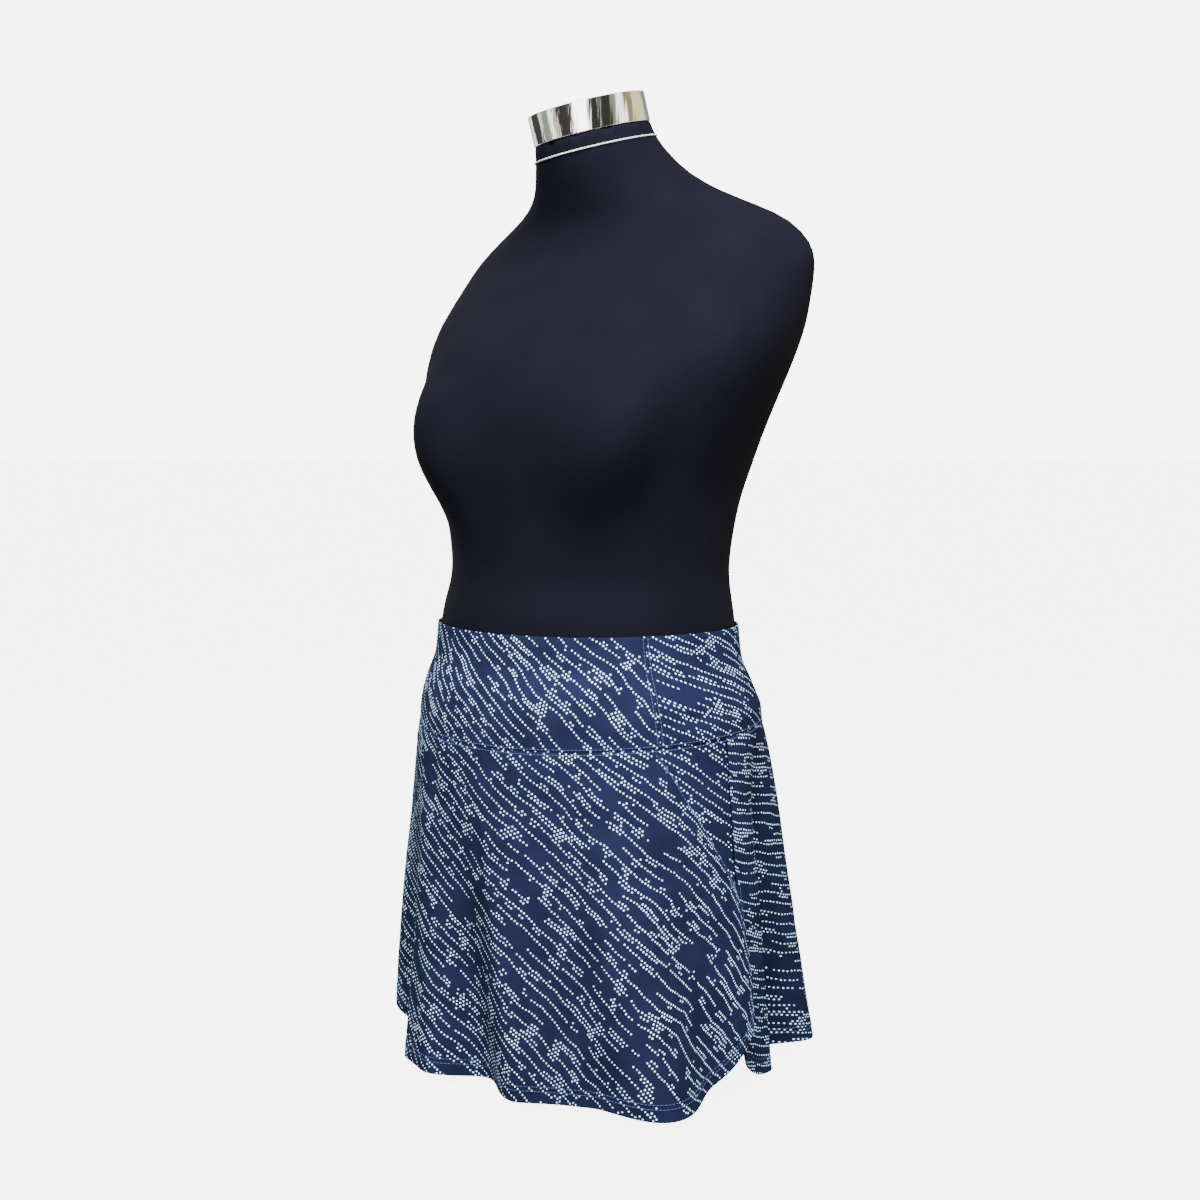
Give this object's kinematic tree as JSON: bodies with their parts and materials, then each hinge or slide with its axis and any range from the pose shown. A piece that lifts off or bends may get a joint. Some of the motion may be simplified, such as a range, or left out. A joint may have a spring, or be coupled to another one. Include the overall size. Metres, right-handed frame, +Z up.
{
  "type": "athletic skirt on a dress form",
  "caption": "Short A-line athletic skirt with a wide shaped waistband, slash pockets and rounded side slits, on a limbless dress form.",
  "frame": {"origin": "centre of the stand's underside, on the floor", "axes": "+Z up; the front of the skirt faces -Y and the wearer's left is +X"},
  "size_m": [0.402, 0.3777, 0.9125],
  "materials": {
    "printed_knit": "matte",
    "form_cover": "matte",
    "plated_cap": "polished",
    "piping": "matte",
    "stand_steel": "satin"
  },
  "bodies": {
    "root": {"waistband_front": "printed_knit", "waistband_back": "printed_knit", "skirt_front": "printed_knit", "skirt_back": "printed_knit", "pocket_facing_left": "printed_knit", "pocket_facing_right": "printed_knit", "form_torso": "form_cover", "form_neck_cap": "plated_cap", "form_neck_piping": "piping", "stand_pole": "stand_steel", "stand_base": "stand_steel"}
  },
  "joints": []
}
